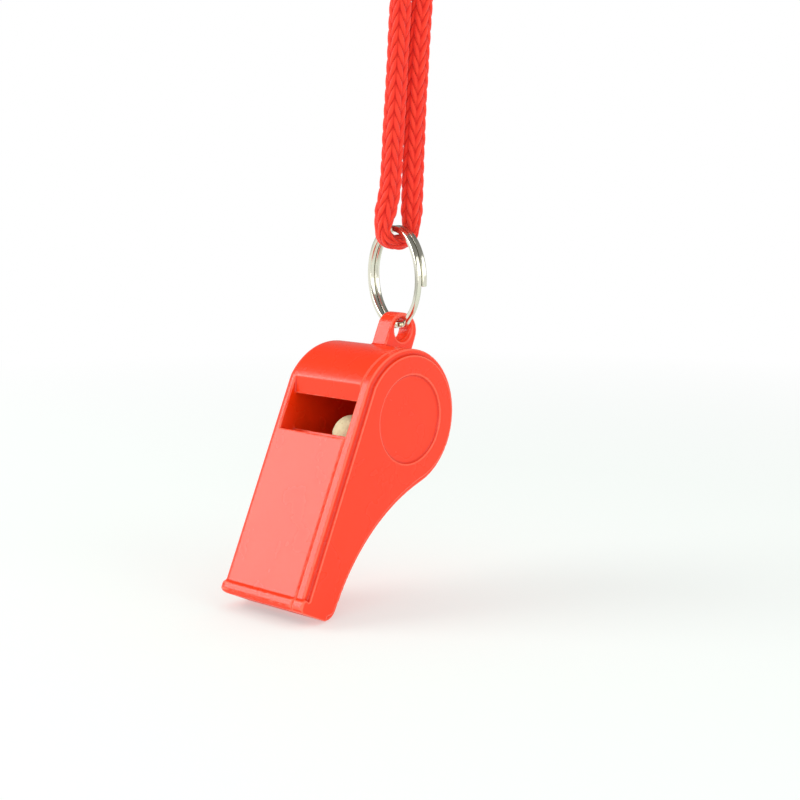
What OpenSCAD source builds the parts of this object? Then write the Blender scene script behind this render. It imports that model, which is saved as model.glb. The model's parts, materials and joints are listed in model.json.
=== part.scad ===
// Sports whistle hanging by a split ring from a cord lanyard.
// Millimetres, +Z up. The origin is the hang point on top of the lanyard knot.
// Whistle outlines are drawn in the whistle's own side view: X runs from the
// barrel's axis to the mouth, Y from the axis out through the flat top plate.

/* [Whistle body] */
// Outer radius of the barrel
barrel_r = 11.75; // [11.3:0.05:13]
// Wall of the barrel
barrel_wall = 1.55; // [1.3:0.05:1.8]
// Drop of the flat top plate under the barrel's highest line
plate_drop = 0.2; // [0.2:0.05:0.5]
// Thickness of the top plate
plate_t = 1.5; // [1.4:0.05:1.8]
// Distance from the barrel's axis to the mouth
mouth_reach = 36; // [33:0.1:42]
// Height of the underside over the barrel's axis, at the mouth
mouth_floor = 3.65; // [2.5:0.05:4.3]
// Slope of the straight stretch of the underside, in degrees
floor_slope = 5.3; // [3:0.1:8]
// Length of that straight stretch
floor_run = 5.1; // [4.5:0.1:6]
// Rounding of the lower corner of the mouth
mouth_corner_r = 2.2; // [1.5:0.1:2.8]
// Clear width between the two side walls
inner_w = 15; // [13:0.1:17]
// Thickness of the closed side wall
side_wall = 2.2; // [2.1:0.1:2.6]
// Rounding of the closed side's outer edge
side_round = 1.7; // [1:0.1:1.8]
// Thickness of the walls round the cored block
block_wall = 1.5; // [1.2:0.1:1.8]
// Width of the grip bead round the mouth
bead_w = 2; // [1.6:0.1:2.4]
// Height of the grip bead
bead_h = 0.45; // [0.3:0.05:0.6]

/* [Window and windway] */
// Distance from the barrel's axis to the lip's edge
lip_s = 0.65; // [0.3:0.05:1.2]
// Drop of the lip's edge under the top plate's surface
lip_drop = 1.1; // [0.9:0.05:1.15]
// Length of the lip's bevel
bevel_len = 2.8; // [2:0.1:3.5]
// Length of the window from the lip to the top plate
window_len = 6.55; // [5.9:0.05:6.8]
// Height of the windway where it meets the window
exit_h = 1.8; // [1.4:0.1:2.2]
// Height of the windway at the mouth
slot_h = 3.6; // [2.6:0.1:3.9]

/* [Side cover] */
// Thickness of the cover's flange
flange_t = 1.7; // [1.4:0.1:2]
// Height of the raised panel over the flange
panel_h = 0.7; // [0.4:0.05:0.9]
// Width of the ledge round the raised panel
ledge_w = 1; // [0.6:0.1:1.3]
// Radius of the round thumb recess
recess_r = 7.5; // [6.5:0.1:8.5]
// Depth of the thumb recess
recess_d = 0.4; // [0.2:0.05:0.5]

/* [Lanyard lug] */
// Distance of the lug's top from the hole's centre
lug_rim = 2.8; // [2.75:0.05:3.6]
// Distance of the lug's front face from the hole's centre
lug_front = 3.25; // [3:0.05:3.6]
// Length of the lug from front to back
lug_len = 6.85; // [6.6:0.05:7.4]
// Rounding of the lug's top corners
lug_corner_r = 3.1; // [2.4:0.1:3.2]
// Thickness of the lug, which stands at mid-width
lug_t = 3.2; // [2.8:0.1:3.4]
// Radius of the hole for the split ring
hole_r = 1.9; // [1.85:0.05:2]
// Chamfer of the hole's two edges
hole_chamfer = 0.5; // [0.4:0.05:0.6]
// Distance of the hole out from the barrel's surface
hole_rise = 3.95; // [3.75:0.05:4.75]
// Distance of the hole under the barrel's axis, away from the top plate
hole_down = 0.9; // [0:0.05:1.25]

/* [Pea] */
// Radius of the pea
pea_r = 3.5; // [3.45:0.05:3.6]
// Gap between the pea and the chamber's wall
pea_gap = 0.2; // [0.1:0.05:0.4]
// Where the pea lies round the barrel's axis, in degrees from the mouth's direction
pea_angle = 39; // [30:1:45]
// How far the pea lies from mid-width towards the cover
pea_side = 2.1; // [0:0.1:2.5]

/* [Split ring] */
// Outer radius of the ring
ring_r = 8.8; // [8.2:0.1:9.4]
// Width of the flattened wire, across the ring's plane
wire_w = 0.96; // [0.8:0.02:0.98]
// Thickness of the flattened wire, from inside to outside
wire_t = 1.05; // [0.8:0.05:1.1]
// Gap between the two turns
turn_gap = 0.06; // [0.05:0.01:0.08]

/* [Lanyard] */
// Diameter of the cord
cord_d = 3.8; // [3.5:0.05:3.85]
// Height of the knot that ends the lanyard
knot_h = 12.5; // [12:0.5:14.5]
// Length of the two cord ends above the knot
tail_len = 5; // [4:0.5:7]

/* [Pose] */
// Tilt of the hanging whistle, in degrees: the mouth swings out from straight down
tilt = 25.4; // [10:0.1:35]
// Turn of the split ring about the vertical, in degrees
ring_yaw = 19; // [10:1:21]

/* [Hidden] */
$fn = 96;
overrun = 1;
full_turn = 360;

// The chamber, the windway and the two sides
chamber_r = barrel_r - barrel_wall;
plate_top = barrel_r - plate_drop;
half_w = inner_w / 2;
closed_side = half_w + side_wall;
flange_side = half_w + flange_t;
panel_side = flange_side + panel_h;
plate_under = plate_top - plate_t;
hole_back = barrel_r + hole_rise;
bevel_s = lip_s - bevel_len;
bevel_n = sqrt(barrel_r * barrel_r - bevel_s * bevel_s);
window_s = lip_s + window_len;
tip_n = plate_under - exit_h;
tip_s = sqrt(chamber_r * chamber_r - tip_n * tip_n);
slot_n = plate_under - slot_h;
pocket_end_share = 0.76;
pocket_end = mouth_reach * pocket_end_share;

function windway_floor(s) = tip_n + (slot_n - tip_n) * (s - tip_s) / (mouth_reach - tip_s);

// The underside: a straight stretch, then one hollow arc tangent to it and to the barrel
floor_dir = [cos(floor_slope), sin(floor_slope)];
floor_normal = [sin(floor_slope), -cos(floor_slope)];
hollow_start = [mouth_reach, mouth_floor] - floor_run * floor_dir;
hollow_r = (hollow_start * hollow_start - barrel_r * barrel_r)
    / (2 * (barrel_r - hollow_start * floor_normal));
hollow_centre = hollow_start + hollow_r * floor_normal;

// Faces that would only touch cross each other by this much
tuck = 0.02;
corner_s = mouth_reach - mouth_corner_r;
corner_n = hollow_start.y
    + (corner_s - hollow_start.x) * tan(floor_slope) + mouth_corner_r / cos(floor_slope);

// Grip bead: where its middle lies, and how deep its foot is sunk
bead_set = 0.15;
bead_sink = 0.5;
bead_s = mouth_reach - bead_set - bead_w / 2;

// The wire's two turns seat side by side in the lug's hole, which their curve crosses aslant
wire_clear = 0.12;
wire_chamfer_share = 0.2;
wire_chamfer = wire_t * wire_chamfer_share;
turn_pitch = wire_w + turn_gap;
ring_mid_r = ring_r - wire_t / 2;
seat_half = lug_t / 2 - hole_chamfer;
seat_rise = seat_half * seat_half / (2 * ring_mid_r);
chord_half = (wire_w + turn_gap / 2) / cos(ring_yaw) + seat_half * tan(ring_yaw);
wire_seat = sqrt(pow(hole_r - wire_clear, 2) - chord_half * chord_half)
    - wire_t / 2 + wire_chamfer - seat_rise;

// The ring hangs in the cord's bight, and the whistle hangs on the ring
route_top = 41.2;
route_lean = 3.1;
ring_top = [-route_lean * cos(ring_yaw), route_lean * sin(ring_yaw), -knot_h - route_top];
ring_centre = ring_top - [0, 0, ring_mid_r];
hole_at = ring_centre - [0, 0, ring_mid_r + wire_seat];
barrel_at = hole_at - [
    hole_back * sin(tilt) + hole_down * cos(tilt),
    0,
    hole_back * cos(tilt) - hole_down * sin(tilt)
];

// Side view of the whistle, drawn a little inside its outer outline
module side_outline(inset = 0) {
    top = plate_top - inset;
    r = mouth_corner_r - inset;
    difference() {
        union() {
            intersection() {
                circle(r = barrel_r - inset);
                translate([-2 * barrel_r, -2 * barrel_r])
                    square([4 * barrel_r, 2 * barrel_r + top]);
            }
            polygon([
                [0, top],
                [mouth_reach - inset, top],
                [mouth_reach - inset, corner_n],
                [corner_s, corner_n],
                [corner_s, corner_n] + r * floor_normal,
                hollow_start - inset * floor_normal,
                hollow_centre,
                [0, 0]
            ]);
            translate([corner_s, corner_n]) circle(r = r + tuck);
        }
        translate(hollow_centre) circle(r = hollow_r + inset + tuck);
    }
}

module windway_outline() {
    end_s = mouth_reach + overrun;
    polygon([
        [0, windway_floor(0)],
        [end_s, windway_floor(end_s)],
        [end_s, plate_under],
        [0, plate_under]
    ]);
}

module window_outline() {
    window_foot = tip_n + exit_h / 2;
    polygon([
        [lip_s, window_foot],
        [lip_s, plate_top - lip_drop],
        [bevel_s, bevel_n],
        [bevel_s, barrel_r + overrun],
        [window_s, barrel_r + overrun],
        [window_s, window_foot]
    ]);
}

// Cored space in the block under the windway, which the side cover closes
module pocket_outline() {
    difference() {
        polygon([
            [0, 0],
            [0, windway_floor(0) - block_wall],
            [pocket_end, windway_floor(pocket_end) - block_wall],
            [pocket_end, hollow_centre.y],
            hollow_centre
        ]);
        circle(r = barrel_r);
        translate(hollow_centre) circle(r = hollow_r + block_wall);
    }
}

// Lug in side view, standing on the barrel
module lug_outline() {
    front = lug_front - hole_down;
    back = front - lug_len;
    top = -hole_back - lug_rim;
    r = lug_corner_r;
    difference() {
        union() {
            translate([top + r, back]) square([hole_back + lug_rim - r, lug_len]);
            translate([top, back + r]) square([hole_back + lug_rim, lug_len - 2 * r]);
            translate([top + r, back + r]) circle(r = r);
            translate([top + r, front - r]) circle(r = r);
        }
        circle(r = chamber_r + barrel_wall / 2);
    }
}

// Hole through the lug, opened at both edges for the ring's curve
module lug_hole() {
    cone_h = hole_chamfer + overrun;
    translate([-hole_back, -hole_down, 0]) {
        cylinder(r = hole_r, h = lug_t + 2 * overrun, center = true);
        translate([0, 0, lug_t / 2 - hole_chamfer])
            cylinder(r1 = hole_r, r2 = hole_r + cone_h, h = cone_h);
        translate([0, 0, -lug_t / 2 - overrun])
            cylinder(r1 = hole_r + cone_h, r2 = hole_r, h = cone_h);
    }
}

// What a rounded edge takes off a square one
module edge_corner() {
    difference() {
        translate([-side_round, -side_round]) square(side_round + overrun);
        translate([-side_round, -side_round]) circle(r = side_round);
    }
}

// Disc whose upper edge is rounded
module round_disc(r, h) {
    rotate_extrude() difference() {
        square([r, h]);
        translate([r, h]) edge_corner();
    }
}

// Solid of the side view up to the closed side, with that side's outer edge rounded
module shell_block() {
    h = inner_w + side_wall;
    translate([0, 0, -half_w])
    difference() {
        union() {
            round_disc(barrel_r, h);
            translate([corner_s, corner_n, 0]) round_disc(mouth_corner_r + tuck, h);
            difference() {
                linear_extrude(height = h)
                    polygon([
                        [0, plate_top],
                        [mouth_reach, plate_top],
                        [mouth_reach, corner_n],
                        [corner_s, corner_n],
                        [corner_s, corner_n] + mouth_corner_r * floor_normal,
                        hollow_start,
                        hollow_centre,
                        [0, 0]
                    ]);
                translate([hollow_start.x, hollow_start.y, h])
                    rotate([90, 0, floor_slope - 90])
                        translate([0, 0, -2 * floor_run])
                            linear_extrude(height = 2 * floor_run) edge_corner();
            }
        }
        translate([hollow_centre.x, hollow_centre.y, 0]) hollow_tool(h);
        translate([-2 * barrel_r, plate_top, -overrun])
            cube([4 * barrel_r, barrel_r, h + 2 * overrun]);
        translate([-2 * barrel_r, plate_top, h])
            rotate([90, 0, 90]) linear_extrude(height = 2 * barrel_r + mouth_reach + overrun)
                edge_corner();
        translate([mouth_reach, plate_top + overrun, h])
            rotate([90, 0, 0]) linear_extrude(height = 2 * barrel_r) edge_corner();
    }
}

// Disc that hollows the underside and leaves a rounded edge at the closed side
module hollow_tool(h) {
    r = hollow_r + tuck;
    rotate_extrude() {
        translate([0, -overrun]) square([r, h + 2 * overrun]);
        difference() {
            translate([0, h - side_round]) square([r + side_round, side_round + overrun]);
            translate([r + side_round, h - side_round]) circle(r = side_round);
        }
    }
}

// Section of the grip bead, whose foot is sunk into the wall that carries it
module bead_section() {
    flat = bead_w / 2 - bead_h;
    polygon([
        [-bead_w / 2, -bead_sink],
        [-bead_w / 2, 0],
        [-flat, bead_h],
        [flat, bead_h],
        [bead_w / 2, 0],
        [bead_w / 2, -bead_sink]
    ]);
}

// The bead along the top plate, between two depths
module bead_bar(from, to) {
    translate([bead_s, plate_top, from]) linear_extrude(height = to - from) bead_section();
}

// The bead round the closed side's rounded edge and down that side
module bead_turn() {
    axis_n = plate_top - side_round;
    axis_z = closed_side - side_round;
    translate([bead_s, axis_n, closed_side])
        rotate([90, 0, 0]) linear_extrude(height = axis_n - corner_n) bead_section();
    intersection() {
        translate([bead_s, axis_n, axis_z])
            rotate([0, 90, 0]) rotate_extrude()
                translate([side_round, 0]) rotate([0, 0, -90]) bead_section();
        translate([bead_s - bead_w, axis_n - tuck, axis_z - tuck]) cube(2 * bead_w);
    }
}

module thumb_recess(face, outward) {
    start = outward > 0 ? face - recess_d : face - overrun;
    translate([0, 0, start]) cylinder(r = recess_r, h = recess_d + overrun);
}

module whistle_body_shape() {
    difference() {
        union() {
            difference() {
                shell_block();
                translate([0, 0, -half_w - overrun])
                    linear_extrude(height = inner_w + overrun) {
                        circle(r = chamber_r);
                        windway_outline();
                        window_outline();
                        pocket_outline();
                    }
            }
            bead_bar(-half_w, closed_side - side_round);
            bead_turn();
            translate([0, 0, -lug_t / 2]) linear_extrude(height = lug_t) lug_outline();
        }
        lug_hole();
        thumb_recess(closed_side, 1);
    }
}

module side_cover_shape() {
    difference() {
        union() {
            translate([0, 0, -flange_side]) linear_extrude(height = flange_t) side_outline();
            translate([0, 0, -panel_side]) linear_extrude(height = panel_h + flange_t / 2) {
                side_outline(ledge_w);
                intersection() {
                    side_outline();
                    translate([mouth_reach - bead_w, corner_n]) square([bead_w, barrel_r]);
                }
            }
            bead_bar(-panel_side, -half_w);
        }
        thumb_recess(-panel_side, -1);
    }
}

// Puts the whistle's own frame into place under the ring
module in_place() {
    translate(barrel_at) rotate([0, 90 + tilt, 0]) rotate([-90, 0, 0]) children();
}

module whistle_body() {
    color("orangered") in_place() whistle_body_shape();
}

module side_cover() {
    color("tomato") in_place() side_cover_shape();
}

// Ball that rolls round the chamber
pea_orbit = chamber_r - pea_r - pea_gap;

module pea() {
    color("burlywood") in_place()
        translate([pea_orbit * cos(pea_angle), pea_orbit * sin(pea_angle), -pea_side])
            sphere(r = pea_r);
}

// Split ring: one flattened wire in two turns, stepping over from one to the other
turn_from = -7;
step_from = 280;
step_to = 310;
turn_to = 636;
turn_steps = 48;
wire_section = let (u = wire_w / 2, v = wire_t / 2, c = wire_chamfer) [
    [u, c - v], [u, v - c], [u - c, v], [c - u, v],
    [-u, v - c], [-u, c - v], [c - u, -v], [u - c, -v]
];

function turn_side(a) =
    turn_pitch / 2 * (1 - 2 * min(1, max(0, (a - step_from) / (step_to - step_from))));

// Walls and end caps of a tube whose rings of points are listed end to end
function tube_faces(rings, sides) = concat(
    [for (i = [0 : rings - 2], j = [0 : sides - 1])
        [i * sides + j, i * sides + (j + 1) % sides,
         (i + 1) * sides + (j + 1) % sides, (i + 1) * sides + j]],
    [[for (j = [sides - 1 : -1 : 0]) j]],
    [[for (j = [0 : sides - 1]) (rings - 1) * sides + j]]
);

module split_ring() {
    steps = ceil((turn_to - turn_from) * turn_steps / full_turn);
    points = [
        for (i = [0 : steps])
            let (a = turn_from + (turn_to - turn_from) * i / steps)
            for (p = wire_section)
                [turn_side(a) + p.x, -(ring_mid_r + p.y) * cos(a), (ring_mid_r + p.y) * sin(a)]
    ];
    color("silver")
        translate(ring_centre) rotate([0, 0, -ring_yaw])
            polyhedron(points = points, faces = tube_faces(steps + 1, len(wire_section)));
}

// Cord: its route's points, measured across the ring and up from its wire's top
route = [
    [1, 41.2], [0.6, 34.5], [0.15, 27], [-0.25, 21], [-0.7, 14.5], [-1, 10], [-1.35, 6.3],
    [-2.2, 2.6], [-2.65, 0.5], [-2.6, -0.8], [-2.05, -1.7], [-1.1, -2.25], [0, -2.4],
    [1.1, -2.25], [2.05, -1.7], [2.7, -0.8], [2.85, 0.5], [2.95, 2.6],
    [3.1, 6.3], [3.2, 10], [3.4, 14.5], [3.7, 21], [4.1, 27], [4.6, 34.5], [5.2, 41.2]
];
press_from = 2.6;
cord_sides = 8;
squeeze_share = 0.32;

// The cord is pressed flat where it passes round the ring's wire
function press(z) = 1 - squeeze_share * max(0, min(1, (press_from - z) / press_from));

function route_dir(i) =
    i == 0 ? [0, -1]
    : i == len(route) - 1 ? [0, 1]
    : let (d = route[i + 1] - route[i - 1]) d / norm(d);

module lanyard_cord() {
    points = [
        for (i = [0 : len(route) - 1])
            let (c = route[i], d = route_dir(i), k = press(c.y))
            for (j = [0 : cord_sides - 1])
                let (a = full_turn * j / cord_sides, across = cord_d / 2 * k * cos(a))
                [c.x + across * d.y, -cord_d / 2 * sin(a), c.y - across * d.x]
    ];
    color("red")
        translate(ring_top) rotate([0, 0, -ring_yaw])
            polyhedron(points = points, faces = tube_faces(len(route), cord_sides));
}

// Knot that ties the lanyard's two ends: a core, the turns round it and the loose ends
wrap_count = 3;
tail_spread = 14;
core_share = 1.15;
core_r = core_share * cord_d;
wrap_gap = (knot_h - wrap_count * cord_d) / (wrap_count + 1);

module lanyard_knot() {
    color("firebrick") rotate([0, 0, -ring_yaw]) {
        translate([0, 0, -knot_h]) rotate_extrude() {
            square([core_r, knot_h - cord_d / 2]);
            square([core_r - cord_d / 2, knot_h]);
            translate([core_r - cord_d / 2, knot_h - cord_d / 2]) circle(d = cord_d);
            for (i = [0 : wrap_count - 1])
                translate([core_r, wrap_gap + cord_d / 2 + i * (cord_d + wrap_gap)]) circle(d = cord_d);
        }
        for (side = [-1, 1])
            translate([side * cord_d / 2, 0, -cord_d / 2]) rotate([0, side * tail_spread, 0])
                cylinder(d = cord_d, h = cord_d / 2 + tail_len);
    }
}

whistle_body();
side_cover();
pea();
split_ring();
lanyard_cord();
lanyard_knot();
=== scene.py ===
"""Looks of a sports whistle that hangs by its split ring from a knitted cord lanyard."""
import json
import math

import bmesh
import bpy
from mathutils import Matrix, Vector, noise


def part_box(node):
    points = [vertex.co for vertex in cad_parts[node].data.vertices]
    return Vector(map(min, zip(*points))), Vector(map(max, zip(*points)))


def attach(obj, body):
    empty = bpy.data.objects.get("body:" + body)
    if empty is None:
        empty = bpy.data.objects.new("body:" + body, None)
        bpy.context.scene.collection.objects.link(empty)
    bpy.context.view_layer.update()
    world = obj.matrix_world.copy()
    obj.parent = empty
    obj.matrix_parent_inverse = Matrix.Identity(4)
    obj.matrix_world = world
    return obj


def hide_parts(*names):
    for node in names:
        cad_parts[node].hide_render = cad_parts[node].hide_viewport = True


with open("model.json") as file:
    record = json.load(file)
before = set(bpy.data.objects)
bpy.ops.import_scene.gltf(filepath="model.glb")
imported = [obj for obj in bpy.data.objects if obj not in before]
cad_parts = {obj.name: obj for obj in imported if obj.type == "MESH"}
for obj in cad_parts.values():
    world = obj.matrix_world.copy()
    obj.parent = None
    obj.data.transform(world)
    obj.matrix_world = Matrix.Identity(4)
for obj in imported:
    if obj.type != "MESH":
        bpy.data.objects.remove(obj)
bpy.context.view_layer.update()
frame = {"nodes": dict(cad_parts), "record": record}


MM = 0.001
FULL_TURN = 2 * math.pi
JOINTS = {joint["name"]: joint for joint in frame["record"]["behaviour"]["joints"]}
RING_TOP = Vector(JOINTS["ring_swing"]["pos_m"])
BARREL = Vector(JOINTS["pea_orbit"]["pos_m"])
RING_YAW = math.radians(19)
TILT = math.radians(25.4)

# X runs along the ring's axis and Z up, from the middle of its wire at the top
RING_FRAME = Matrix.Translation(RING_TOP) @ Matrix.Rotation(-RING_YAW, 4, "Z")
# The same directions from the hang point, which is the knot's top
KNOT_FRAME = Matrix.Rotation(-RING_YAW, 4, "Z")
# X runs from the barrel's axis to the mouth, Y out through the top plate
WHISTLE_FRAME = (
    Matrix.Translation(BARREL)
    @ Matrix.Rotation(math.pi / 2 + TILT, 4, "Y")
    @ Matrix.Rotation(-math.pi / 2, 4, "X")
)


# ---- Objects and meshes ----


def clamp(value):
    return max(0.0, min(1.0, value))


def ease(value):
    """The value held between 0 and 1, with a soft start and end."""
    share = clamp(value)
    return share * share * (3 - 2 * share)


def linked(name, data):
    item = bpy.data.objects.new(name, data)
    bpy.context.collection.objects.link(item)
    return item


def deselect_all():
    for item in list(bpy.context.selected_objects):
        item.select_set(False)


def apply_modifiers(item):
    deselect_all()
    item.select_set(True)
    bpy.context.view_layer.objects.active = item
    for modifier in list(item.modifiers):
        bpy.ops.object.modifier_apply(modifier=modifier.name)


def shade_smooth(item):
    item.data.polygons.foreach_set("use_smooth", [True] * len(item.data.polygons))
    item.data.update()


def point_values(item, name, values):
    layer = item.data.attributes.new(name, "FLOAT", "POINT")
    layer.data.foreach_set("value", values)


def grid_object(name, rows, uvs, around):
    """A closed tube from rows of points; uvs gives the UV of a row and a column."""
    mesh = bpy.data.meshes.new(name)
    points = [point for row in rows for point in row]
    faces, corners = [], []
    for i in range(len(rows) - 1):
        here, there = i * around, (i + 1) * around
        for j in range(around):
            k = (j + 1) % around
            faces.append((here + j, here + k, there + k, there + j))
            corners += [uvs(i, j), uvs(i, j + 1), uvs(i + 1, j + 1), uvs(i + 1, j)]
    for i in (0, len(rows) - 1):
        middle = len(points)
        points.append(sum(rows[i], Vector()) / around)
        for j in range(around):
            a, b = i * around + j, i * around + (j + 1) % around
            faces.append((middle, a, b) if i else (middle, b, a))
            corners += [uvs(i, j)] * 3
    mesh.from_pydata(points, [], faces)
    layer = mesh.uv_layers.new(name="UVMap")
    layer.data.foreach_set("uv", [value for corner in corners for value in corner])
    item = linked(name, mesh)
    tool = bmesh.new()
    tool.from_mesh(mesh)
    bmesh.ops.recalc_face_normals(tool, faces=tool.faces)
    tool.to_mesh(mesh)
    tool.free()
    shade_smooth(item)
    return item


# ---- Camera ----

CAMERA_PLACE = Vector((-202.787, -177.091, -38.989)) * MM
CAMERA_TURN = [math.radians(angle) for angle in (80.571, 0, -48.419)]
SENSOR_WIDTH_MM = 36
LENS_MM = 70.17
NEAR_LIMIT = 10 * MM

camera_data = bpy.data.cameras.new("camera")
camera_data.sensor_width = SENSOR_WIDTH_MM
camera_data.lens = LENS_MM
camera_data.clip_start = NEAR_LIMIT
camera = linked("camera", camera_data)
camera.location = CAMERA_PLACE
camera.rotation_euler = CAMERA_TURN
bpy.context.scene.camera = camera


# ---- Paths ----

CURVE_CUTS = 24


def through(points, step):
    """Evenly spaced points of one smooth curve through the given ones."""
    ends = [points[0] * 2 - points[1], *points, points[-1] * 2 - points[-2]]
    dense = []
    for a, b, c, d in zip(ends, ends[1:], ends[2:], ends[3:]):
        for i in range(CURVE_CUTS):
            t = i / CURVE_CUTS
            dense.append(0.5 * (
                2 * b + (c - a) * t
                + (2 * a - 5 * b + 4 * c - d) * t * t
                + (3 * b - a - 3 * c + d) * t ** 3
            ))
    dense.append(points[-1])
    travelled = [0.0]
    for a, b in zip(dense, dense[1:]):
        travelled.append(travelled[-1] + (b - a).length)
    count = round(travelled[-1] / step)
    even, k = [], 0
    for i in range(count + 1):
        wanted = travelled[-1] * i / count
        while k < len(dense) - 2 and travelled[k + 1] < wanted:
            k += 1
        share = (wanted - travelled[k]) / (travelled[k + 1] - travelled[k])
        even.append(dense[k].lerp(dense[k + 1], share))
    return even


def ahead_at(path, i):
    """The way from the point before a path's point i to the point after it."""
    return path[min(i + 1, len(path) - 1)] - path[max(i - 1, 0)]


def flat_normals(path, axis):
    """Normals of a path that lies in one plane, within that plane."""
    return [axis.cross(ahead_at(path, i)).normalized() for i in range(len(path))]


# ---- Knitted cord ----

# Out to the crowns of the yarn, which stand a little proud of the cord's nominal size
CORD_R = 1.94 * MM
# A stitch's length along the cord, the columns of stitches round it, and their legs' slope
STITCH = 2.4 * MM
WALES = 4
HALF_WALE = math.pi * CORD_R / WALES
LEG_SLOPE = 1.9
# Depth between two yarns, how each rounds off, and its height between two columns
YARN_DEPTH = 0.55 * MM
YARN_ROUND = 2.2
CROWN_ROUND = 2.4
VALLEY_HEIGHT = 0.42
# Share by which the radius varies along the cord, and from place to place on it
WOBBLE, WOBBLE_SCALE = 0.03, 260
SLACK, SLACK_SCALE, SLACK_SEED = 0.02, 400, 3.1
CORD_AROUND = 64
CORD_STEP = 0.16 * MM
CAP_HEIGHT = 0.5


def knit(along, angle):
    """Height of the yarn from 0 to 1 and its row count, at a place on the tube."""
    across = abs((angle / FULL_TURN * WALES) % 1 - 0.5) * 2
    row = (along - LEG_SLOPE * across * HALF_WALE) / STITCH
    yarn = math.sqrt(max(0.0, 1 - abs(2 * (row % 1) - 1) ** YARN_ROUND))
    crown = 1 - abs(2 * across - 1) ** CROWN_ROUND
    return yarn * (VALLEY_HEIGHT + (1 - VALLEY_HEIGHT) * crown), row


def knit_tube(name, path, normals, twist, press=None):
    """Tube of knitted cord along a path, with its angle counted from each normal.

    twist(i) turns the knit about the path, and press(i) scales it along the normal.
    """
    rows, heights, places, travelled = [], [], [], 0.0
    for i, point in enumerate(path):
        if i:
            travelled += (point - path[i - 1]).length
        normal = normals[i]
        side = ahead_at(path, i).normalized().cross(normal)
        flat = press(i) if press else 1
        turn = twist(i)
        wobble = WOBBLE * noise.noise(point * WOBBLE_SCALE)
        row = []
        for j in range(CORD_AROUND):
            angle = FULL_TURN * j / CORD_AROUND
            height, line = knit(travelled, angle - turn)
            spot = Vector((angle, travelled * SLACK_SCALE, SLACK_SEED))
            loose = 1 + wobble + SLACK * noise.noise(spot)
            r = (CORD_R - YARN_DEPTH * (1 - height)) * loose
            out, across = r * flat * math.cos(angle), r * math.sin(angle)
            row.append(point + normal * out + side * across)
            heights.append(height)
            places.append((travelled / STITCH, line))
        rows.append(row)
    item = grid_object(
        name, rows, lambda i, j: places[i * CORD_AROUND + j % CORD_AROUND], CORD_AROUND
    )
    point_values(item, "yarn", heights + [CAP_HEIGHT] * 2)
    return item


# The loop's route in millimetres, across the ring and up from its wire's top
ROUTE = [
    (1, 41.2), (0.6, 34.5), (0.15, 27), (-0.25, 21), (-0.7, 14.5), (-1, 10), (-1.35, 6.3),
    (-2.2, 2.6), (-2.65, 0.5), (-2.6, -0.8), (-2.05, -1.7), (-1.1, -2.25), (0, -2.4),
    (1.1, -2.25), (2.05, -1.7), (2.7, -0.8), (2.85, 0.5), (2.95, 2.6),
    (3.1, 6.3), (3.2, 10), (3.4, 14.5), (3.7, 21), (4.1, 27), (4.6, 34.5), (5.2, 41.2),
]
# The loop is pressed flat where it bends round the wire, from this height down
PRESS_FROM = 2.6 * MM
SQUEEZE = 0.32
# Turn of the knit on the left strand and on the right one, and where it changes
LEFT_WALE = math.radians(78)
RIGHT_WALE = math.radians(114)
TWIST_FROM, TWIST_OVER = 0.4, 0.2

LOOP_AXIS = RING_FRAME.to_3x3() @ Vector((0, -1, 0))
flat_route = through([Vector((x, 0, z)) * MM for x, z in ROUTE], CORD_STEP)
cord_path = [RING_FRAME @ point for point in flat_route]


def cord_press(i):
    return 1 - SQUEEZE * clamp((PRESS_FROM - flat_route[i].z) / PRESS_FROM)


def cord_twist(i):
    share = ease((i / len(cord_path) - TWIST_FROM) / TWIST_OVER)
    return LEFT_WALE + (RIGHT_WALE - LEFT_WALE) * share


cord = knit_tube(
    "cord_loop", cord_path, flat_normals(cord_path, LOOP_AXIS), cord_twist, cord_press
)

# Knot: turns of the cord, with the loop's two ends up through them and out on top
WRAP_R = 4.3 * MM
WRAP_PITCH = 4.07 * MM
WRAP_ANGLE = 2.25 * FULL_TURN
WRAP_FOOT = 10.7 * MM
WRAP_CUTS = 110
KNOT_STEP = 0.2 * MM
# Angle over which each end of the turns is tucked in, and its share of the radius there
TUCK_OVER = 0.8
TUCK_SHARE = 0.62
# Turn of the knit on the turns and on the loose ends
WRAP_WALE = 0.6
TAIL_WALE = 0.9
# A loose end's route in millimetres, out from the knot's middle and up from its top
TAIL_ROUTE = [(2.1, -12.5), (1.75, -5), (2.375, -0.2), (3.4, 4.6)]


def wrap_point(angle):
    """A place on the turns' path, at an angle from its lower end."""
    tuck = min(1.0, angle / TUCK_OVER, (WRAP_ANGLE - angle) / TUCK_OVER)
    r = WRAP_R * (TUCK_SHARE + (1 - TUCK_SHARE) * tuck)
    z = -WRAP_FOOT + WRAP_PITCH * angle / FULL_TURN
    return KNOT_FRAME @ Vector((r * math.cos(angle), r * math.sin(angle), z))


wrap_angles = [WRAP_ANGLE * i / WRAP_CUTS for i in range(WRAP_CUTS + 1)]
wrap_path = through([wrap_point(angle) for angle in wrap_angles], KNOT_STEP)
wrap_normals = []
for i, point in enumerate(wrap_path):
    ahead = ahead_at(wrap_path, i).normalized()
    out = Vector((point.x, point.y, 0)).normalized()
    wrap_normals.append((out - ahead * out.dot(ahead)).normalized())
knot = knit_tube("lanyard_knot_wraps", wrap_path, wrap_normals, lambda i: WRAP_WALE)

tails = []
for name, side in (("cord_end_left", -1), ("cord_end_right", 1)):
    tail_route = through([Vector((side * x, 0, z)) * MM for x, z in TAIL_ROUTE], KNOT_STEP)
    tail_path = [KNOT_FRAME @ point for point in tail_route]
    tail_normals = flat_normals(tail_path, LOOP_AXIS)
    tails.append(knit_tube(name, tail_path, tail_normals, lambda i: TAIL_WALE))

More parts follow.
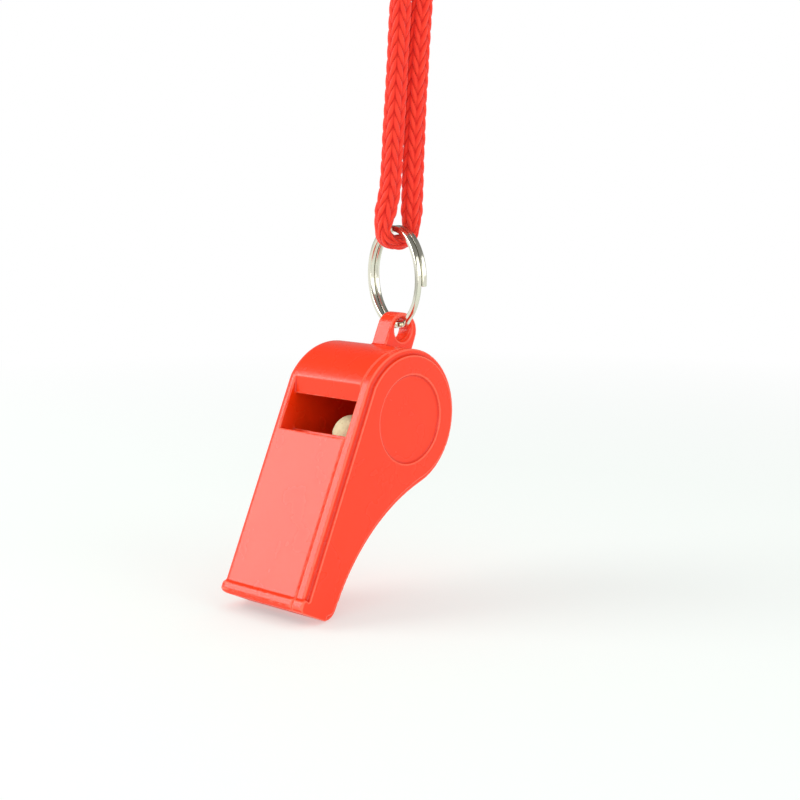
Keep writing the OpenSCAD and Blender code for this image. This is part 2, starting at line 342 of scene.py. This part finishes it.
for piece in (cord, knot, *tails):
    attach(piece, "lanyard")
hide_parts("lanyard_cord")
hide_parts("lanyard_knot")
for tail in tails:
    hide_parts("lanyard_knot")


# ---- Split ring ----

RING_MID_R = 8.275 * MM
WIRE_W = 0.96 * MM
WIRE_T = 1.05 * MM
WIRE_ROUND = 0.3 * MM
CORNER_STEPS = 6
WIRE_AROUND = 4 * (CORNER_STEPS + 1)
WIRE_STEPS = 327
WIRE_UV_STEP = 0.25
TURN_PITCH = 1.02 * MM
# In degrees: where the wire starts, steps over to its second turn, and ends
TURN_FROM, STEP_FROM, STEP_TO, TURN_TO = -7, 280, 310, 636
# Both ends are rounded off: degrees in from the end, and the section's scale there
WIRE_TIP = ((0, 0.82), (0.4, 0.95))
TIP_LENGTH = 1


def wire_section(scale):
    points = []
    for corner in range(4):
        middle = FULL_TURN * (corner + 0.5) / 4
        x = math.copysign(WIRE_W / 2 - WIRE_ROUND, math.cos(middle))
        y = math.copysign(WIRE_T / 2 - WIRE_ROUND, math.sin(middle))
        for i in range(CORNER_STEPS + 1):
            angle = FULL_TURN * (corner + i / CORNER_STEPS) / 4
            points.append(((x + WIRE_ROUND * math.cos(angle)) * scale,
                           (y + WIRE_ROUND * math.sin(angle)) * scale))
    return points


def wire_row(degrees, scale=1.0):
    a = math.radians(degrees)
    side = TURN_PITCH / 2 * (1 - 2 * ease((degrees - STEP_FROM) / (STEP_TO - STEP_FROM)))
    row = []
    for x, y in wire_section(scale):
        r = RING_MID_R + y
        spot = Vector((side + x, -r * math.cos(a), r * math.sin(a) - RING_MID_R))
        row.append(RING_FRAME @ spot)
    return row


full_turns = TURN_TO - TURN_FROM - 2 * TIP_LENGTH
wire_rows = [wire_row(TURN_FROM + inset, scale) for inset, scale in WIRE_TIP]
for i in range(WIRE_STEPS + 1):
    wire_rows.append(wire_row(TURN_FROM + TIP_LENGTH + full_turns * i / WIRE_STEPS))
wire_rows += [wire_row(TURN_TO - inset, scale) for inset, scale in reversed(WIRE_TIP)]
split_ring = grid_object(
    "split_ring_wire", wire_rows, lambda i, j: (i * WIRE_UV_STEP, j / WIRE_AROUND), WIRE_AROUND
)
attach(split_ring, "ring")
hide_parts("split_ring")


# ---- Moulded plastic ----

WELD = 0.0005 * MM
VOXEL = 0.15 * MM
SMOOTHING = 0.5
# Radius of a bend that counts in full as an edge, and the share of it that doesn't count
EDGE_REACH = 1.9 * MM
EDGE_FROM = 0.35


def bend_values(mesh):
    """How far each point stands out as an edge and lies in as a crease, each from 0 to 1."""
    total = [0.0] * len(mesh.vertices)
    count = [0] * len(mesh.vertices)
    for edge in mesh.edges:
        a, b = edge.vertices
        between = mesh.vertices[b].co - mesh.vertices[a].co
        size = between.length_squared or 1
        total[a] -= between.dot(mesh.vertices[a].normal) / size
        total[b] += between.dot(mesh.vertices[b].normal) / size
        count[a] += 1
        count[b] += 1
    bend = [total[i] / max(1, count[i]) for i in range(len(total))]

    def share(value):
        return clamp((value * EDGE_REACH - EDGE_FROM) / (1 - EDGE_FROM))

    return [share(value) for value in bend], [share(-value) for value in bend]


def moulded(name, node, rounds, most):
    """A copy of the node with its edges eased in so many rounds, and at most so many faces."""
    mesh = frame["nodes"][node].data.copy()
    mesh.name = name
    mesh.materials.clear()
    mesh.transform(WHISTLE_FRAME.inverted())
    item = linked(name, mesh)
    tool = bmesh.new()
    tool.from_mesh(mesh)
    bmesh.ops.remove_doubles(tool, verts=tool.verts, dist=WELD)
    tool.to_mesh(mesh)
    tool.free()
    remesh = item.modifiers.new("remesh", "REMESH")
    remesh.mode = "VOXEL"
    remesh.voxel_size = VOXEL
    remesh.adaptivity = 0
    smooth = item.modifiers.new("smooth", "SMOOTH")
    smooth.factor = SMOOTHING
    smooth.iterations = rounds
    apply_modifiers(item)
    triangles = 2 * len(item.data.polygons)
    if triangles > most:
        thin = item.modifiers.new("thin", "DECIMATE")
        thin.ratio = most / triangles
        apply_modifiers(item)
    item.data.transform(WHISTLE_FRAME)
    shade_smooth(item)
    edges, creases = bend_values(item.data)
    point_values(item, "edge", edges)
    point_values(item, "crease", creases)
    even = item.modifiers.new("even", "WEIGHTED_NORMAL")
    even.mode = "FACE_AREA"
    apply_modifiers(item)
    return item


shell = moulded("whistle_shell", "whistle_body", rounds=6, most=190000)
cover = moulded("whistle_cover", "side_cover", rounds=9, most=150000)
for piece, node in ((shell, "whistle_body"), (cover, "side_cover")):
    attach(piece, "whistle")
    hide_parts(node)


# ---- Pea ----

# Depth of each kind of unevenness in the cork, and the scale of its noise
SWELL, SWELL_SCALE = 0.05 * MM, 2.3
PITS, PITS_SCALE, PITS_FROM = 0.16 * MM, 9.0, 0.28
PITS_SEED = Vector((4, 1, 7))
GRAIN, GRAIN_SCALE = 0.02 * MM, 24.0

pea_low, pea_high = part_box("pea")
PEA_MIDDLE = (pea_low + pea_high) / 2
PEA_R = (pea_high.x - pea_low.x) / 2
deselect_all()
bpy.ops.mesh.primitive_ico_sphere_add(subdivisions=6, radius=PEA_R, location=(0, 0, 0))
pea = bpy.context.active_object
pea.name = pea.data.name = "cork_pea"
for vertex in pea.data.vertices:
    spot = vertex.co.normalized()
    swell = SWELL * (1 + noise.noise(spot * SWELL_SCALE))
    pits = PITS * max(0.0, noise.noise(spot * PITS_SCALE + PITS_SEED) - PITS_FROM)
    grain = GRAIN * (1 + noise.noise(spot * GRAIN_SCALE))
    vertex.co = spot * (PEA_R - swell - pits - grain)
pea.data.transform(Matrix.Translation(PEA_MIDDLE))
shade_smooth(pea)
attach(pea, "pea")
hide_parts("pea")


# ---- Materials ----


def rgb(red, green, blue):
    return (red, green, blue, 1)


def put(tree, kind, inputs=None, **settings):
    """Adds a shader node; an input that is a socket is linked, any other is set."""
    made = tree.nodes.new("ShaderNode" + kind)
    for name, value in settings.items():
        setattr(made, name, value)
    for key, value in (inputs or {}).items():
        if isinstance(value, bpy.types.NodeSocket):
            tree.links.new(value, made.inputs[key])
        else:
            made.inputs[key].default_value = value
    return made


def blend_colours(tree, factor, first, second):
    return put(tree, "Mix", {0: factor, 6: first, 7: second}, data_type="RGBA").outputs[2]


def math_node(tree, kind, *values):
    return put(tree, "Math", dict(enumerate(values)), operation=kind).outputs[0]


def stretch(tree, value, low, high, to_low=0.0, to_high=1.0, kind="LINEAR"):
    made = put(tree, "MapRange", {"Value": value, "From Min": low, "From Max": high,
                                  "To Min": to_low, "To Max": to_high}, interpolation_type=kind)
    return made.outputs[0]


def attribute(tree, name):
    return put(tree, "Attribute", attribute_name=name).outputs["Fac"]


def mottle_group():
    """Soft blotches of two colours with a fine grain, for any solid surface."""
    tree = bpy.data.node_groups.new("mottle", "ShaderNodeTree")
    face = tree.interface
    face.new_socket("Vector", in_out="INPUT", socket_type="NodeSocketVector")
    for name in ("Colour", "Second colour"):
        face.new_socket(name, in_out="INPUT", socket_type="NodeSocketColor")
    for name in ("Blotch scale", "Grain scale"):
        face.new_socket(name, in_out="INPUT", socket_type="NodeSocketFloat")
    face.new_socket("Colour", in_out="OUTPUT", socket_type="NodeSocketColor")
    for name in ("Blotch", "Grain"):
        face.new_socket(name, in_out="OUTPUT", socket_type="NodeSocketFloat")
    start, end = tree.nodes.new("NodeGroupInput"), tree.nodes.new("NodeGroupOutput")
    blotch = put(tree, "TexNoise", {"Vector": start.outputs["Vector"],
                                    "Scale": start.outputs["Blotch scale"], "Detail": 3.0})
    grain = put(tree, "TexNoise", {"Vector": start.outputs["Vector"],
                                   "Scale": start.outputs["Grain scale"], "Detail": 4.0})
    share = stretch(tree, blotch.outputs[0], 0.25, 0.75, kind="SMOOTHSTEP")
    mixed = blend_colours(tree, share, start.outputs["Colour"], start.outputs["Second colour"])
    tree.links.new(mixed, end.inputs["Colour"])
    tree.links.new(share, end.inputs["Blotch"])
    tree.links.new(grain.outputs[0], end.inputs["Grain"])
    return tree


MOTTLE = mottle_group()


def mottle(tree, vector, first, second, blotch, grain):
    """The group in a material: its outputs are Colour, Blotch and Grain."""
    return put(tree, "Group", {"Vector": vector, "Colour": first, "Second colour": second,
                               "Blotch scale": blotch, "Grain scale": grain},
               node_tree=MOTTLE).outputs


def new_material(name, **shader):
    made = bpy.data.materials.new(name)
    made.use_nodes = True
    tree = made.node_tree
    surface = tree.nodes["Principled BSDF"]
    for key, value in shader.items():
        surface.inputs[key.replace("_", " ")].default_value = value
    return made, tree, surface


def finish_surface(tree, surface, colour, rough, height, distance, strength=1.0):
    """Links the colour and roughness, and a bump of the height."""
    raised = put(tree, "Bump", {"Height": height, "Distance": distance, "Strength": strength})
    tree.links.new(colour, surface.inputs["Base Color"])
    tree.links.new(rough, surface.inputs["Roughness"])
    tree.links.new(raised.outputs[0], surface.inputs["Normal"])


# How far edges take a painted highlight and creases a painted shade, and what wear adds to an
# edge's roughness
EDGE_HIGHLIGHT = 0.6
CREASE_SHADE = 0.6
EDGE_ROUGHNESS = 0.08


def red_plastic():
    made, tree, surface = new_material("red_plastic", Specular_IOR_Level=0.42, IOR=1.5)
    place = put(tree, "TexCoord").outputs["Object"]
    skin = mottle(tree, place, first=rgb(0.92, 0.037, 0.002), second=rgb(0.90, 0.035, 0.002),
                  blotch=160.0, grain=1500.0)
    edge, crease = attribute(tree, "edge"), attribute(tree, "crease")
    # Convex edges get a painted highlight, a paler red
    painted_highlight = math_node(tree, "MULTIPLY", edge, EDGE_HIGHLIGHT)
    pale = blend_colours(tree, painted_highlight, skin["Colour"], rgb(1.0, 0.20, 0.12))
    # Creases get a painted shade, a darker red
    painted_shade = math_node(tree, "MULTIPLY", crease, CREASE_SHADE)
    colour = blend_colours(tree, painted_shade, pale, rgb(0.60, 0.012, 0.002))
    rough = stretch(tree, skin["Blotch"], 0, 1, to_low=0.26, to_high=0.28)
    rubbed = math_node(tree, "ADD", rough, math_node(tree, "MULTIPLY", edge, EDGE_ROUGHNESS))
    finish_surface(tree, surface, colour, rubbed, skin["Grain"], 0.012 * MM, strength=0.35)
    return made


def cork():
    made, tree, surface = new_material("cork", Specular_IOR_Level=0.3)
    place = put(tree, "TexCoord").outputs["Object"]
    skin = mottle(tree, place, first=rgb(0.80, 0.75, 0.47), second=rgb(0.72, 0.66, 0.40),
                  blotch=900.0, grain=5000.0)
    cells = put(tree, "TexVoronoi", {"Vector": place, "Scale": 1700.0})
    specks = stretch(tree, cells.outputs["Distance"], 0.12, 0.3, to_low=0.45, to_high=0.0)
    colour = blend_colours(tree, specks, skin["Colour"], rgb(0.46, 0.32, 0.17))
    rough = stretch(tree, skin["Grain"], 0, 1, to_low=0.7, to_high=0.95)
    finish_surface(tree, surface, colour, rough, skin["Grain"], 0.08 * MM)
    return made


def nickel_wire():
    made, tree, surface = new_material("nickel_wire", Metallic=1.0)
    place = put(tree, "TexCoord").outputs
    skin = mottle(tree, place["Object"], first=rgb(0.80, 0.78, 0.66),
                  second=rgb(0.74, 0.73, 0.60), blotch=400.0, grain=2500.0)
    drawn = put(tree, "Mapping", {"Vector": place["UV"], "Scale": (0.12, 14.0, 1.0)})
    lines = put(tree, "TexNoise", {"Vector": drawn.outputs[0], "Scale": 1.0, "Detail": 3.0})
    # Dark streaks along the wire are a painted reflection; the same noise also bumps the
    # surface in lines
    dark_reflections = stretch(tree, lines.outputs[0], 0.48, 0.66, to_low=0.0, to_high=0.65)
    colour = blend_colours(tree, dark_reflections, skin["Colour"], rgb(0.22, 0.22, 0.17))
    rough = stretch(tree, skin["Blotch"], 0, 1, to_low=0.13, to_high=0.2)
    finish_surface(tree, surface, colour, rough, lines.outputs[0], 0.01 * MM, strength=0.4)
    return made


# Fine strands across a yarn, and how far they wander
STRANDS = 7
STRAND_WANDER = 1.6


def red_cord():
    made, tree, surface = new_material(
        "red_cord", Specular_IOR_Level=0.3, Sheen_Weight=0.25, Sheen_Roughness=0.4
    )
    place = put(tree, "TexCoord").outputs
    skin = mottle(tree, place["Object"], first=rgb(0.97, 0.050, 0.020),
                  second=rgb(0.92, 0.034, 0.015), blotch=700.0, grain=6000.0)
    yarn = attribute(tree, "yarn")
    # The valleys between yarns get a painted shade, a darker red
    gap_shade = stretch(tree, yarn, 0.15, 0.75, to_low=1.0, to_high=0.0)
    colour = blend_colours(tree, gap_shade, skin["Colour"], rgb(0.62, 0.006, 0.003))
    across_yarn = put(tree, "SeparateXYZ", {"Vector": place["UV"]}).outputs[1]
    wander = math_node(tree, "MULTIPLY", skin["Grain"], STRAND_WANDER)
    turns = math_node(tree, "MULTIPLY", across_yarn, STRANDS * FULL_TURN)
    strands = math_node(tree, "SINE", math_node(tree, "ADD", turns, wander))
    height = math_node(tree, "ADD", math_node(tree, "MULTIPLY", strands, 0.5), skin["Grain"])
    rough = stretch(tree, yarn, 0, 1, to_low=0.85, to_high=0.62)
    finish_surface(tree, surface, colour, rough, height, 0.035 * MM, strength=0.8)
    return made


PLASTIC, CORK, NICKEL, CORD = red_plastic(), cork(), nickel_wire(), red_cord()
for item, finish in (
    (shell, PLASTIC), (cover, PLASTIC), (pea, CORK), (split_ring, NICKEL),
    (cord, CORD), (knot, CORD), (tails[0], CORD), (tails[1], CORD),
):
    item.data.materials.append(finish)
for node, finish in (
    ("whistle_body", PLASTIC), ("side_cover", PLASTIC), ("pea", CORK),
    ("split_ring", NICKEL), ("lanyard_cord", CORD), ("lanyard_knot", CORD),
):
    for slot in frame["nodes"][node].material_slots:
        slot.material = finish


# ---- Floor ----

BACKDROP = rgb(1, 1, 1)
FLOOR_GAP = 0.05 * MM
FLOOR_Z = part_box("whistle_body")[0].z - FLOOR_GAP
FLOOR_SIZE = 8
# Distance over which the lit floor gives way to the backdrop, and its share at the start
FADE_FROM, FADE_TO, FADE_LEAST = 0.10, 0.3, 0.4

deselect_all()
bpy.ops.mesh.primitive_plane_add(size=FLOOR_SIZE, location=(0, 0, FLOOR_Z))
floor = bpy.context.active_object
floor.name = floor.data.name = "floor"

pale_floor, tree, surface = new_material(
    "pale_floor", Base_Color=rgb(0.84, 0.91, 0.86), Roughness=0.6, Specular_IOR_Level=0.2
)
plain = put(tree, "Emission", {"Color": BACKDROP, "Strength": 1.0})
place = put(tree, "TexCoord").outputs["Object"]
spread = put(tree, "VectorMath", {0: place}, operation="LENGTH").outputs["Value"]
far = stretch(tree, spread, FADE_FROM, FADE_TO, to_low=FADE_LEAST, to_high=1.0)
mixed = put(tree, "MixShader", {0: far, 1: surface.outputs[0], 2: plain.outputs[0]})
tree.links.new(mixed.outputs[0], tree.nodes["Material Output"].inputs["Surface"])
floor.data.materials.append(pale_floor)


# ---- World ----

# The sky that is mirrored, from straight down at 0 to straight up at 1
SKY_LOW = (0.40, rgb(0.80, 0.80, 0.78))
SKY_GREYS = ((0.49, 0.95), (0.62, 1.0), (0.72, 0.55), (0.8, 0.30))
SKY_HIGH = (1.0, rgb(0.25, 0.25, 0.25))
# It is dimmer toward the side away from the camera
AWAY = (0.73, 0.68, 0.0)
DIM_FROM, DIM_TO, DIM_LEAST = 0.1, 0.85, 0.4
SOFT_LIGHT = 0.82

world = bpy.data.worlds.new("studio")
bpy.context.scene.world = world
world.use_nodes = True
tree = world.node_tree
tree.nodes.clear()
rays = put(tree, "LightPath").outputs
look = put(tree, "TexCoord").outputs["Generated"]
height = put(tree, "SeparateXYZ", {"Vector": look}).outputs["Z"]
ramp = put(tree, "ValToRGB", {"Fac": stretch(tree, height, -1, 1)})
stops = ramp.color_ramp.elements
stops[0].position, stops[0].color = SKY_LOW
stops[1].position, stops[1].color = SKY_HIGH
for position, grey in SKY_GREYS:
    stop = stops.new(position)
    stop.color = rgb(grey, grey, grey)
away = put(tree, "VectorMath", {0: look, 1: AWAY}, operation="DOT_PRODUCT").outputs["Value"]
dimmer = stretch(tree, away, DIM_FROM, DIM_TO, to_low=1.0, to_high=DIM_LEAST)
shown = put(tree, "Background", {"Color": BACKDROP, "Strength": 1.0})
mirrored = put(tree, "Background", {"Color": ramp.outputs[0], "Strength": dimmer})
soft = put(tree, "Background", {"Color": rgb(1, 1, 1), "Strength": SOFT_LIGHT})
seen = math_node(tree, "MAXIMUM", rays["Is Camera Ray"], rays["Is Transmission Ray"])
first = put(tree, "MixShader", {0: rays["Is Glossy Ray"], 1: soft.outputs[0],
                                2: mirrored.outputs[0]})
second = put(tree, "MixShader", {0: seen, 1: first.outputs[0], 2: shown.outputs[0]})
put(tree, "OutputWorld", {"Surface": second.outputs[0]})


# ---- Lamps ----

MIDDLE = Vector((-19, -4, -90)) * MM


def softbox(name, direction, distance, size, power):
    """A square lamp that faces the middle of the whistle, with lengths in metres."""
    data = bpy.data.lights.new(name, "AREA")
    data.shape = "RECTANGLE"
    data.size = data.size_y = size
    data.energy = power
    lamp = linked(name, data)
    toward = Vector(direction).normalized()
    lamp.location = MIDDLE + toward * distance
    lamp.rotation_euler = toward.to_track_quat("Z", "Y").to_euler()
    lamp.visible_camera = False


softbox("key_softbox", (-0.59, 0.67, 0.45), distance=0.6, size=0.36, power=2.05)
softbox("front_softbox", (0.15, -0.95, 0.45), distance=0.8, size=0.5, power=1.35)
softbox("camera_fill", (-0.66, -0.72, 0.2), distance=0.5, size=0.3, power=0.42)

bpy.context.scene.view_settings.view_transform = "Standard"
